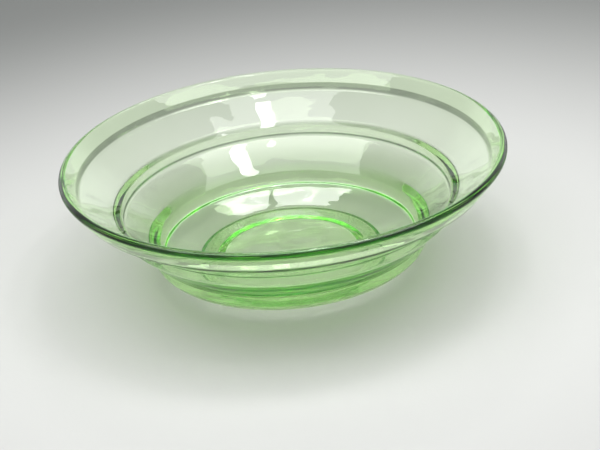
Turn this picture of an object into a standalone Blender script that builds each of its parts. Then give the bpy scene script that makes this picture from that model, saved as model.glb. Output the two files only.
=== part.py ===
"""A wide, stepped bowl pressed in one piece of pale green uranium glass.

The inside goes down in three tiers. Each tier starts at a crisp step edge, drops as an almost
upright riser and runs inwards as a sloping tread. The outside has three rounder shoulders, one
behind each tier, so the wall is about 3 mm thick and up to 5 mm at the steps. The rim above the top
step flares out to a rounded lip, and a low foot ring under the floor carries the bowl.

The outline is worked out in the X-Z plane and turned about the Z axis. Metres, +Z up, with the
origin on the axis in the plane that the foot ring stands on.
"""

import math

import bmesh
import bpy
from mathutils import Vector

# Driving dimensions, in metres.
RIM_RADIUS = 0.1250
LIP_RADIUS = 0.0022
LIP_CENTRE_HEIGHT = 0.0680
FLOOR_HEIGHT = 0.0055
RECESS_HEIGHT = 0.0018

# The corners of the section, each as (radius, height, rounding).
# The inside, from the floor's edge up to the upper step edge.
INSIDE = (
    (0.0500, FLOOR_HEIGHT, 0.0250),     # edge of the floor
    (0.0729, 0.0118, 0.0040),           # foot of the lower riser
    (0.0748, 0.0198, 0.0009),           # lower step edge
    (0.0932, 0.0362, 0.0040),           # foot of the middle riser
    (0.0943, 0.0425, 0.0009),           # middle step edge
    (0.1155, 0.0584, 0.0030),           # foot of the upper riser
    (0.1166, 0.0631, 0.0009),           # upper step edge
)
# The outside, from under the rim down to the underside.
OUTSIDE = (
    (0.1175, 0.0563, 0.0050),           # upper shoulder
    (0.0990, 0.0430, 0.0030),           # hollow above the middle shoulder
    (0.0978, 0.0372, 0.0040),           # middle shoulder
    (0.0826, 0.0212, 0.0040),           # hollow above the lower shoulder
    (0.0808, 0.0150, 0.0050),           # lower shoulder, its upper bend
    (0.0786, 0.0106, 0.0050),           # lower shoulder, its lower bend
)
# The foot ring, from its outer side to the shallow recess inside it.
FOOT = (
    (0.0532, 0.0030, 0.0015),           # root of the ring's outer side
    (0.0530, 0.0000, 0.0010),           # outer edge of the flat
    (0.0440, 0.0000, 0.0010),           # inner edge of the flat
    (0.0390, RECESS_HEIGHT, 0.0030),    # edge of the recess
)

# Fineness of the solid, in steps and degrees.
TURN_STEPS = 72
ARC_STEP = 30.0
SHARP_ANGLE = 40.0
MERGE_DISTANCE = 1e-6
LEAST_TURN = 2.0


class Corner:
    """One corner of the outline: a point in the X-Z plane and the radius that rounds it."""

    def __init__(self, radius, height, rounding=0.0):
        self.point = Vector((radius, height))
        self.rounding = rounding


def clear_scene():
    for item in list(bpy.data.objects):
        bpy.data.objects.remove(item, do_unlink=True)


def turn_angle(before, corner, after):
    """The signed angle, anticlockwise, that the outline turns through at a corner."""
    way_in = (corner.point - before.point).normalized()
    way_out = (after.point - corner.point).normalized()
    return math.atan2(way_in.x * way_out.y - way_in.y * way_out.x, way_in.dot(way_out))


def rounded_corner(before, corner, after):
    """The points of the arc that rounds a corner, or the corner itself if it is sharp."""
    angle = turn_angle(before, corner, after)
    if corner.rounding == 0.0 or abs(angle) < math.radians(LEAST_TURN):
        return [corner.point]
    way_in = (corner.point - before.point).normalized()
    tangent = corner.rounding * math.tan(abs(angle) / 2)
    side = math.copysign(1.0, angle)
    start = corner.point - way_in * tangent
    centre = start + Vector((-way_in.y, way_in.x)) * side * corner.rounding
    spoke = start - centre
    count = max(2, math.ceil(abs(math.degrees(angle)) / ARC_STEP))
    points = []
    for index in range(count + 1):
        part = angle * index / count
        turned = Vector((spoke.x * math.cos(part) - spoke.y * math.sin(part),
                         spoke.x * math.sin(part) + spoke.y * math.cos(part)))
        points.append(centre + turned)
    return points


def rounded_outline(corners):
    """The whole outline, from the first corner to the last, with every corner rounded."""
    points = [corners[0].point]
    for before, corner, after in zip(corners, corners[1:], corners[2:]):
        points.extend(rounded_corner(before, corner, after))
    points.append(corners[-1].point)
    return points


def lip_corners():
    """The corners round the lip, starting where the rim's inside meets it.

    The rim's inside rises from the upper step edge and just touches the lip's circle. Two square
    corners, each rounded by the lip's radius, make the half circle.
    """
    step_radius, step_height, _ = INSIDE[-1]
    centre = Vector((RIM_RADIUS - LIP_RADIUS, LIP_CENTRE_HEIGHT))
    reach = centre - Vector((step_radius, step_height))
    slope = math.atan2(reach.y, reach.x) + math.asin(LIP_RADIUS / reach.length)
    along = Vector((math.cos(slope), math.sin(slope)))
    across = Vector((-along.y, along.x))
    upper = centre + (along + across) * LIP_RADIUS
    lower = centre + (along - across) * LIP_RADIUS
    return [Corner(upper.x, upper.y, LIP_RADIUS), Corner(lower.x, lower.y, LIP_RADIUS)]


def bowl_corners():
    """Every corner of the section, from the middle of the floor to the middle of the recess."""
    corners = [Corner(0.0, FLOOR_HEIGHT)]
    corners += [Corner(*numbers) for numbers in INSIDE]
    corners += lip_corners()
    corners += [Corner(*numbers) for numbers in OUTSIDE + FOOT]
    corners.append(Corner(0.0, RECESS_HEIGHT))
    return corners


def turned(name, outline):
    """A closed solid made by spinning an outline about Z; it starts and ends on the axis."""
    shape = bmesh.new()
    chain = [shape.verts.new((point.x, 0.0, point.y)) for point in outline]
    edges = [shape.edges.new(pair) for pair in zip(chain, chain[1:])]
    bmesh.ops.spin(shape, geom=chain + edges, cent=(0, 0, 0), axis=(0, 0, 1),
                   angle=2 * math.pi, steps=TURN_STEPS, use_merge=True)
    bmesh.ops.remove_doubles(shape, verts=shape.verts, dist=MERGE_DISTANCE)
    bmesh.ops.recalc_face_normals(shape, faces=shape.faces)
    mesh = bpy.data.meshes.new(name)
    shape.to_mesh(mesh)
    shape.free()
    mesh.shade_smooth()
    mesh.set_sharp_from_angle(angle=math.radians(SHARP_ANGLE))
    item = bpy.data.objects.new(name, mesh)
    bpy.context.collection.objects.link(item)
    return item


def uranium_glass():
    """Clear, pale yellow-green glass."""
    material = bpy.data.materials.new("uranium_glass")
    material.use_nodes = True
    shader = material.node_tree.nodes["Principled BSDF"]
    shader.inputs["Base Color"].default_value = (0.55, 0.86, 0.45, 1.0)
    shader.inputs["Metallic"].default_value = 0.0
    shader.inputs["Roughness"].default_value = 0.03
    shader.inputs["IOR"].default_value = 1.52
    shader.inputs["Transmission Weight"].default_value = 1.0
    return material


def main():
    clear_scene()
    bowl = turned("bowl", rounded_outline(bowl_corners()))
    bowl.data.materials.append(uranium_glass())


main()
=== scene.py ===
"""Looks for the stepped uranium glass bowl: a finely turned glass piece, a pale floor, soft light."""

import math

import bmesh
import bpy
from mathutils import Matrix, Vector


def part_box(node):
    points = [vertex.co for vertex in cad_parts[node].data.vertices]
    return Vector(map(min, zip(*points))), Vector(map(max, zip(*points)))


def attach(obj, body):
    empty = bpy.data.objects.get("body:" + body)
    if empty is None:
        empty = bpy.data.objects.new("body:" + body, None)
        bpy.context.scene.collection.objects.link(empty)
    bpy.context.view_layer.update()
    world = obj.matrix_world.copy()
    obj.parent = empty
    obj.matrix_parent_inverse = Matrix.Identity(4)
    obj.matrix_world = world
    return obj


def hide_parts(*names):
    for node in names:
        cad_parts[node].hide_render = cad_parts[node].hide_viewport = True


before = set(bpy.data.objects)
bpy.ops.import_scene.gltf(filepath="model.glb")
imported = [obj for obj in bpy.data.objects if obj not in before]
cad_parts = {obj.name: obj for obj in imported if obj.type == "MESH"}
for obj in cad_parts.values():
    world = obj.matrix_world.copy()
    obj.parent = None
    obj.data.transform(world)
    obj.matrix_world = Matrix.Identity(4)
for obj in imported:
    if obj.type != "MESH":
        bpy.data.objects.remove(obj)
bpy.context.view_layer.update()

# The turned section, in metres. Each corner is (radius, height, rounding). It repeats the CAD part.
BOWL_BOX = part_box("bowl")
RIM_RADIUS = BOWL_BOX[1].x
LIP_RADIUS = 0.0022
LIP_CENTRE_HEIGHT = BOWL_BOX[1].z - LIP_RADIUS
FLOOR_HEIGHT = 0.0055
RECESS_HEIGHT = 0.0018
# The inside, from the floor's edge up to the upper step edge.
INSIDE = (
    (0.0500, FLOOR_HEIGHT, 0.0250),     # edge of the floor
    (0.0729, 0.0118, 0.0040),           # foot of the lower riser
    (0.0748, 0.0198, 0.0009),           # lower step edge
    (0.0932, 0.0362, 0.0040),           # foot of the middle riser
    (0.0943, 0.0425, 0.0009),           # middle step edge
    (0.1155, 0.0584, 0.0030),           # foot of the upper riser
    (0.1166, 0.0631, 0.0009),           # upper step edge
)
# The outside, from under the rim down to the underside.
OUTSIDE = (
    (0.1175, 0.0563, 0.0050),           # upper shoulder
    (0.0990, 0.0430, 0.0030),           # hollow above the middle shoulder
    (0.0978, 0.0372, 0.0040),           # middle shoulder
    (0.0826, 0.0212, 0.0040),           # hollow above the lower shoulder
    (0.0808, 0.0150, 0.0050),           # lower shoulder, its upper bend
    (0.0786, 0.0106, 0.0050),           # lower shoulder, its lower bend
)
# The foot ring, from its outer side to the shallow recess inside it.
FOOT = (
    (0.0532, 0.0030, 0.0015),           # root of the ring's outer side
    (0.0530, 0.0000, 0.0010),           # outer edge of the flat
    (0.0440, 0.0000, 0.0010),           # inner edge of the flat
    (0.0390, RECESS_HEIGHT, 0.0030),    # edge of the recess
)

# Fineness of the turned piece, in steps, degrees and metres.
TURN_STEPS = 360
ARC_STEP = 6.0
LEAST_TURN = 1.0
LONGEST_STRETCH = 0.0040
MERGE_DISTANCE = 1e-6

# The glass: its colour by depth, the waves, rings and skin of its surface, smudges and wear.
# Each noise is (scale, detail, roughness), and each span is the part of it that a change runs over.
GLASS_COLOUR = (0.476, 0.905, 0.095, 1.0)
GLASS_DENSITY = 70.0
GLASS_IOR = 1.58
WAVE_NOISE = (38.0, 1.0, 0.5)
WAVE_DEPTH = 0.0006
RING_SCALE = 260.0
RING_DETAIL = 1.0
RING_DEPTH = 0.000012
SKIN_NOISE = (240.0, 3.0, 0.5)
SKIN_DEPTH = 0.000008
SMUDGE_NOISE = (32.0, 4.0, 0.6)
SMUDGE_SPAN = (0.50, 0.72)
SMUDGE_ROUGHNESS = 0.07
RUB_HEIGHT = 0.0008
RUB_NOISE = (900.0, 3.0, 0.5)
RUB_SPAN = (0.35, 0.65)
RUB_LEAST_ROUGHNESS = 0.15
RUB_ROUGHNESS = 0.45
FILM_NOISE = (18.0, 3.0, 0.5)
FILM_SPAN = (0.35, 0.75)
FILM_COLOUR = (0.975, 0.985, 0.97, 1.0)
CLEAR = (1.0, 1.0, 1.0, 1.0)

# The floor: pale paper round the bowl, with painted shade that darkens it to grey further away, just
# clear of the foot.
FLOOR_GAP = 0.0002
FLOOR_RADIUS = 3.0
FLOOR_CORNERS = 128
# Painted shade: the grey and the radii it fades in over stand in for the light falling off away from the
# bowl.
PAINTED_SHADE_START_RADIUS = 0.17
PAINTED_SHADE_FULL_RADIUS = 0.60
PALE_PAPER = (0.62, 0.62, 0.61, 1.0)
PAINTED_SHADE_GREY = (0.31, 0.315, 0.31, 1.0)
PAPER_ROUGHNESS = 0.9
PAPER_GRAIN_NOISE = (500.0, 4.0, 0.6)
PAPER_GRAIN_DEPTH = 0.00006

# The studio's glow: strongest ahead of the camera, weaker at the sides and overhead.
STUDIO_COLOUR = (0.97, 1.0, 0.98, 1.0)
GLOW_START = 0.45
GLOW_FULL = 0.80
GLOW_STRENGTH = 1.2
SIDE_STRENGTH = 0.45
HORIZON_END = 0.30
ZENITH_START = 0.65
ZENITH_STRENGTH = 0.45

# The lights: places, aims and sizes in metres, powers in watts.
SOFTBOX_PLACE = (0.0, -0.12, 0.60)
SOFTBOX_AIM = (0.0, -0.06, 0.0)
SOFTBOX_SIZE = (1.10, 0.42)
SOFTBOX_POWER = 4.0
WINDOW_PLACE = (0.10, -0.01, 0.55)
WINDOW_SIZE = (0.24, 0.10)
WINDOW_POWER = 0.6
BACK_WINDOW_PLACE = (0.02, 0.45, 0.60)
BACK_WINDOW_SIZE = (0.18, 0.12)
BACK_WINDOW_POWER = 0.35
PANE_SHARE = 0.88                       # of each quarter of a window that its pane fills

# Light paths, long enough for the many turns that light takes inside the wall.
GLASS_BOUNCES = 48
GLOSSY_BOUNCES = 12
DIFFUSE_BOUNCES = 6
INDIRECT_CLAMP = 6.0

# The camera, in metres and degrees.
CAMERA_DISTANCE = 5.65 * 0.125          # 5.65 times the rim's radius
CAMERA_ELEVATION = 28.9
CAMERA_PAN = 0.52
CAMERA_TILT = 1.4
CAMERA_ROLL = -5.48
CAMERA_LENS = 72.0
SENSOR_WIDTH = 36.0
CLIP_START = 0.01
CLIP_END = 20.0


def make_camera():
    """Looks at the middle of the bowl's foot, then pans, tilts and rolls for the framing."""
    elevation = math.radians(CAMERA_ELEVATION)
    place = Vector((0.0, -math.cos(elevation), math.sin(elevation))) * CAMERA_DISTANCE
    ahead = -place.normalized()
    right = Vector((1.0, 0.0, 0.0))
    up = right.cross(ahead)
    pan, tilt, roll = (math.radians(v) for v in (CAMERA_PAN, CAMERA_TILT, CAMERA_ROLL))
    ahead = ((ahead * math.cos(pan) + right * math.sin(pan)) * math.cos(tilt)
             + up * math.sin(tilt))
    side = ahead.cross(up).normalized()
    top = side.cross(ahead)
    side, top = (side * math.cos(roll) + top * math.sin(roll),
                 top * math.cos(roll) - side * math.sin(roll))
    data = bpy.data.cameras.new("camera")
    data.lens = CAMERA_LENS
    data.sensor_width = SENSOR_WIDTH
    data.clip_start = CLIP_START
    data.clip_end = CLIP_END
    camera = bpy.data.objects.new("camera", data)
    bpy.context.collection.objects.link(camera)
    turn = Matrix((side, top, -ahead)).transposed().to_4x4()
    camera.matrix_world = Matrix.Translation(place) @ turn
    bpy.context.scene.camera = camera


class Corner:
    """One corner of the section: a point in the X-Z plane and the radius that rounds it."""

    def __init__(self, radius, height, rounding=0.0):
        self.point = Vector((radius, height))
        self.rounding = rounding


def turn_angle(before, corner, after):
    """The signed angle, anticlockwise, that the outline turns through at a corner."""
    way_in = (corner.point - before.point).normalized()
    way_out = (after.point - corner.point).normalized()
    return math.atan2(way_in.x * way_out.y - way_in.y * way_out.x, way_in.dot(way_out))


def rounded_corner(before, corner, after):
    """The points of the arc that rounds a corner, or the corner itself if it is sharp."""
    angle = turn_angle(before, corner, after)
    if corner.rounding == 0.0 or abs(angle) < math.radians(LEAST_TURN):
        return [corner.point]
    way_in = (corner.point - before.point).normalized()
    tangent = corner.rounding * math.tan(abs(angle) / 2)
    side = math.copysign(1.0, angle)
    start = corner.point - way_in * tangent
    centre = start + Vector((-way_in.y, way_in.x)) * side * corner.rounding
    spoke = start - centre
    count = max(2, math.ceil(abs(math.degrees(angle)) / ARC_STEP))
    points = []
    for index in range(count + 1):
        part = angle * index / count
        points.append(centre + Vector((spoke.x * math.cos(part) - spoke.y * math.sin(part),
                                       spoke.x * math.sin(part) + spoke.y * math.cos(part))))
    return points


def rounded_outline(corners):
    """The whole outline, from the first corner to the last, with every corner rounded."""
    points = [corners[0].point]
    for before, corner, after in zip(corners, corners[1:], corners[2:]):
        points.extend(rounded_corner(before, corner, after))
    points.append(corners[-1].point)
    return points


def divided(points):
    """The same outline with long straight stretches cut into short ones."""
    result = [points[0]]
    for start, end in zip(points, points[1:]):
        count = max(1, math.ceil((end - start).length / LONGEST_STRETCH))
        for index in range(1, count + 1):
            result.append(start.lerp(end, index / count))
    return result


def lip_corners():
    """Two square corners that make the lip's half circle, tangent to the rim's inside."""
    top_edge = Vector(INSIDE[-1][:2])
    centre = Vector((RIM_RADIUS - LIP_RADIUS, LIP_CENTRE_HEIGHT))
    reach = centre - top_edge
    slope = math.atan2(reach.y, reach.x) + math.asin(LIP_RADIUS / reach.length)
    along = Vector((math.cos(slope), math.sin(slope)))
    across = Vector((-along.y, along.x))
    upper = centre + (along + across) * LIP_RADIUS
    lower = centre + (along - across) * LIP_RADIUS
    return [Corner(upper.x, upper.y, LIP_RADIUS), Corner(lower.x, lower.y, LIP_RADIUS)]


def bowl_corners():
    """Every corner of the section, from the middle of the floor to the middle of the recess."""
    corners = [Corner(0.0, FLOOR_HEIGHT)] + [Corner(*numbers) for numbers in INSIDE]
    corners += lip_corners()
    corners += [Corner(*numbers) for numbers in OUTSIDE + FOOT]
    corners.append(Corner(0.0, RECESS_HEIGHT))
    return corners


def turned(name, outline):
    """A closed piece made by spinning an outline about Z; it starts and ends on the axis."""
    shape = bmesh.new()
    chain = [shape.verts.new((point.x, 0.0, point.y)) for point in outline]
    edges = [shape.edges.new(pair) for pair in zip(chain, chain[1:])]
    bmesh.ops.spin(shape, geom=chain + edges, cent=(0, 0, 0), axis=(0, 0, 1),
                   angle=2 * math.pi, steps=TURN_STEPS, use_merge=True)
    bmesh.ops.remove_doubles(shape, verts=shape.verts, dist=MERGE_DISTANCE)
    bmesh.ops.recalc_face_normals(shape, faces=shape.faces)
    mesh = bpy.data.meshes.new(name)
    shape.to_mesh(mesh)
    shape.free()
    mesh.shade_smooth()
    item = bpy.data.objects.new(name, mesh)
    bpy.context.collection.objects.link(item)
    return item


def feed(tree, socket, value):
    """Links the value to the socket if it is itself a socket, or sets it there."""
    if isinstance(value, bpy.types.NodeSocket):
        tree.links.new(value, socket)
    else:
        socket.default_value = value


def add_node(tree, kind, settings=(), **inputs):
    """A new node. Its inputs go by name, with an underscore for each space."""
    node = tree.nodes.new(kind)
    for name, value in dict(settings).items():
        setattr(node, name, value)
    for name, value in inputs.items():
        feed(tree, node.inputs[name.replace("_", " ")], value)
    return node


def faded(tree, value, start, end, low, high):
    """A socket that goes smoothly from low to high as the value goes from start to end."""
    fade = add_node(tree, "ShaderNodeMapRange", {"interpolation_type": "SMOOTHSTEP"}, Value=value,
                    From_Min=start, From_Max=end, To_Min=low, To_Max=high)
    return fade.outputs["Result"]


def arithmetic(tree, operation, first, second):
    """A socket with the sum, product or other result of two values."""
    node = add_node(tree, "ShaderNodeMath", {"operation": operation})
    for socket, value in zip(node.inputs, (first, second)):
        feed(tree, socket, value)
    return node.outputs["Value"]


def blended(tree, factor, first, second):
    """A colour between two others."""
    mix = add_node(tree, "ShaderNodeMix", {"data_type": "RGBA"}, Factor=factor, A=first, B=second)
    return mix.outputs["Result"]


def noise(tree, place, scale, detail, roughness):
    """A socket with noise at the given places."""
    node = add_node(tree, "ShaderNodeTexNoise", Vector=place, Scale=scale, Detail=detail,
                    Roughness=roughness)
    return node.outputs["Fac"]


def bumped(tree, height, depth, under=None):
    """A normal that a height tips, on top of another normal if one is given."""
    inputs = {"Height": height, "Distance": depth, "Strength": 1.0}
    if under is not None:
        inputs["Normal"] = under
    return add_node(tree, "ShaderNodeBump", **inputs).outputs["Normal"]


def glass_material():
    """Pressed uranium glass: green by its depth, fire-polished, faintly wavy, a little handled."""
    material = bpy.data.materials.new("uranium_glass")
    material.use_nodes = True
    tree = material.node_tree
    shader = tree.nodes["Principled BSDF"]
    shader.inputs["IOR"].default_value = GLASS_IOR
    shader.inputs["Transmission Weight"].default_value = 1.0

    place = tree.nodes.new("ShaderNodeTexCoord").outputs["Object"]
    axes = add_node(tree, "ShaderNodeSeparateXYZ", Vector=place)
    distance = add_node(tree, "ShaderNodeVectorMath", {"operation": "LENGTH"}, Vector=place)

    # The mould's long waves, the plunger's faint turning rings and a fine skin.
    waves = noise(tree, place, *WAVE_NOISE)
    rings = add_node(tree, "ShaderNodeTexNoise", {"noise_dimensions": "1D"}, W=distance.outputs["Value"],
                     Scale=RING_SCALE, Detail=RING_DETAIL).outputs["Fac"]
    skin = noise(tree, place, *SKIN_NOISE)
    normal = bumped(tree, waves, WAVE_DEPTH)
    normal = bumped(tree, rings, RING_DEPTH, normal)
    normal = bumped(tree, skin, SKIN_DEPTH, normal)
    tree.links.new(normal, shader.inputs["Normal"])

    # Smudges from hands all over, and a foot ring rubbed matt by the table.
    smudge = faded(tree, noise(tree, place, *SMUDGE_NOISE), *SMUDGE_SPAN,
                   0.0, SMUDGE_ROUGHNESS)
    low_down = faded(tree, axes.outputs["Z"], 0.0, RUB_HEIGHT, 1.0, 0.0)
    scuff = faded(tree, noise(tree, place, *RUB_NOISE), *RUB_SPAN,
                  RUB_LEAST_ROUGHNESS, RUB_ROUGHNESS)
    rub = arithmetic(tree, "MULTIPLY", low_down, scuff)
    tree.links.new(arithmetic(tree, "ADD", smudge, rub), shader.inputs["Roughness"])

    # A thin, uneven film that tints the light very slightly.
    filmed = faded(tree, noise(tree, place, *FILM_NOISE), *FILM_SPAN, 0.0, 1.0)
    tree.links.new(blended(tree, filmed, CLEAR, FILM_COLOUR), shader.inputs["Base Color"])

    absorption = tree.nodes.new("ShaderNodeVolumeAbsorption")
    absorption.inputs["Color"].default_value = GLASS_COLOUR
    absorption.inputs["Density"].default_value = GLASS_DENSITY
    tree.links.new(absorption.outputs["Volume"], tree.nodes["Material Output"].inputs["Volume"])
    return material


def make_bowl():
    """The finely turned bowl, which stands for the CAD node."""
    piece = turned("glass_bowl", divided(rounded_outline(bowl_corners())))
    piece.data.materials.append(glass_material())
    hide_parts("bowl")
    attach(piece, "root")


def floor_material():
    """Pale paper with a fine grain, and painted shade that darkens it to grey away from the bowl."""
    material = bpy.data.materials.new("floor_paper")
    material.use_nodes = True
    tree = material.node_tree
    shader = tree.nodes["Principled BSDF"]
    shader.inputs["Roughness"].default_value = PAPER_ROUGHNESS
    place = tree.nodes.new("ShaderNodeTexCoord").outputs["Object"]
    distance = add_node(tree, "ShaderNodeVectorMath", {"operation": "LENGTH"}, Vector=place)
    # Painted shade: the paper is blended towards grey with distance, in place of the light's falloff.
    painted_shade_falloff = faded(tree, distance.outputs["Value"], PAINTED_SHADE_START_RADIUS, PAINTED_SHADE_FULL_RADIUS, 0.0, 1.0)
    tree.links.new(blended(tree, painted_shade_falloff, PALE_PAPER, PAINTED_SHADE_GREY), shader.inputs["Base Color"])
    grain = noise(tree, place, *PAPER_GRAIN_NOISE)
    tree.links.new(bumped(tree, grain, PAPER_GRAIN_DEPTH), shader.inputs["Normal"])
    return material


def make_stage():
    """The floor, which isn't part of the object."""
    bpy.ops.mesh.primitive_circle_add(vertices=FLOOR_CORNERS, radius=FLOOR_RADIUS, fill_type="NGON",
                                      location=(0, 0, -FLOOR_GAP))
    floor = bpy.context.object
    floor.name = "floor"
    floor.data.materials.append(floor_material())


def area_light(name, place, aim, size, power):
    """A white rectangular light that points at a place."""
    data = bpy.data.lights.new(name, "AREA")
    data.shape = "RECTANGLE"
    data.size, data.size_y = size
    data.energy = power
    light = bpy.data.objects.new(name, data)
    light.location = place
    light.rotation_euler = (Vector(aim) - Vector(place)).to_track_quat("-Z", "Y").to_euler()
    bpy.context.collection.objects.link(light)


def window_light(name, middle, size, power):
    """A window of two by two panes, facing the bowl."""
    width, depth = size
    pane = (width * PANE_SHARE / 2, depth * PANE_SHARE / 2)
    for column in (-1, 1):
        for row in (-1, 1):
            place = Vector(middle) + Vector((column * width / 4, row * depth / 4, 0.0))
            area_light("%s_%d%d" % (name, column + 1, row + 1), place, (0, 0, 0), pane, power / 4)


def make_studio():
    """The glow all round, from the world's own colour and strength."""
    world = bpy.data.worlds.new("studio")
    bpy.context.scene.world = world
    world.use_nodes = True
    tree = world.node_tree
    background = tree.nodes["Background"]
    place = tree.nodes.new("ShaderNodeTexCoord").outputs["Generated"]
    axes = add_node(tree, "ShaderNodeSeparateXYZ", Vector=place)
    glow = faded(tree, axes.outputs["Y"], GLOW_START, GLOW_FULL, SIDE_STRENGTH, GLOW_STRENGTH)
    overhead = faded(tree, axes.outputs["Z"], HORIZON_END, ZENITH_START, 0.0, 1.0)
    blend = add_node(tree, "ShaderNodeMix", Factor=overhead, A=glow, B=ZENITH_STRENGTH)
    tree.links.new(blend.outputs["Result"], background.inputs["Strength"])
    background.inputs["Color"].default_value = STUDIO_COLOUR


def make_lights():
    """A softbox overhead and two windows, whose reflections lie in the bowl."""
    area_light("softbox", SOFTBOX_PLACE, SOFTBOX_AIM, SOFTBOX_SIZE, SOFTBOX_POWER)
    window_light("window", WINDOW_PLACE, WINDOW_SIZE, WINDOW_POWER)
    window_light("back_window", BACK_WINDOW_PLACE, BACK_WINDOW_SIZE, BACK_WINDOW_POWER)


def render_settings():
    """Plain colours, and light paths that don't go dark inside the glass."""
    scene = bpy.context.scene
    scene.view_settings.view_transform = "Standard"
    scene.cycles.max_bounces = GLASS_BOUNCES
    scene.cycles.transmission_bounces = GLASS_BOUNCES
    scene.cycles.glossy_bounces = GLOSSY_BOUNCES
    scene.cycles.diffuse_bounces = DIFFUSE_BOUNCES
    scene.cycles.caustics_reflective = True
    scene.cycles.caustics_refractive = True
    scene.cycles.sample_clamp_indirect = INDIRECT_CLAMP


make_camera()
make_bowl()
make_stage()
make_studio()
make_lights()
render_settings()
